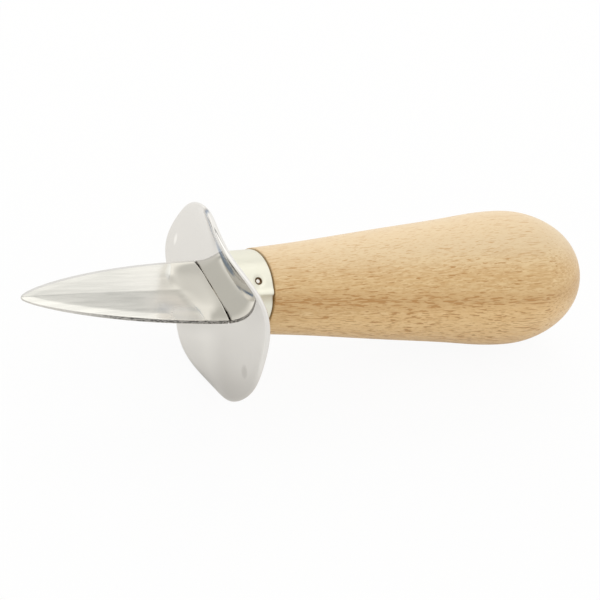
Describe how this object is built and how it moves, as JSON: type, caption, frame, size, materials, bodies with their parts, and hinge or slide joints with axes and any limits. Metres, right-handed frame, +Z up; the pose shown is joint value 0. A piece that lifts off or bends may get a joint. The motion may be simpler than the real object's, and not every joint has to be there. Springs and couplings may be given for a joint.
{
  "type": "oyster knife",
  "caption": "Oyster knife with a short spear blade, a bent steel guard plate, a metal collar and a pear-shaped beech handle.",
  "frame": {"origin": "on the table, below the middle of the lying knife's box", "axes": "+X from the blade's tip to the handle's butt, +Y across the blade's flat, +Z up"},
  "size_m": [0.165, 0.0538, 0.0461],
  "materials": {
    "blade_steel": "ground lengthwise, satin",
    "guard_steel": "mirror polished steel",
    "ferrule_metal": "pale satin",
    "pin_steel": "plain bright",
    "beech": "fine sanded, bare or thinly oiled",
    "resin": "cured adhesive"
  },
  "bodies": {
    "root": {"blade": "blade_steel", "guard": "guard_steel", "ferrule": "ferrule_metal", "ferrule_pins": "pin_steel", "handle": "beech", "tang_resin": "resin"}
  },
  "joints": []
}
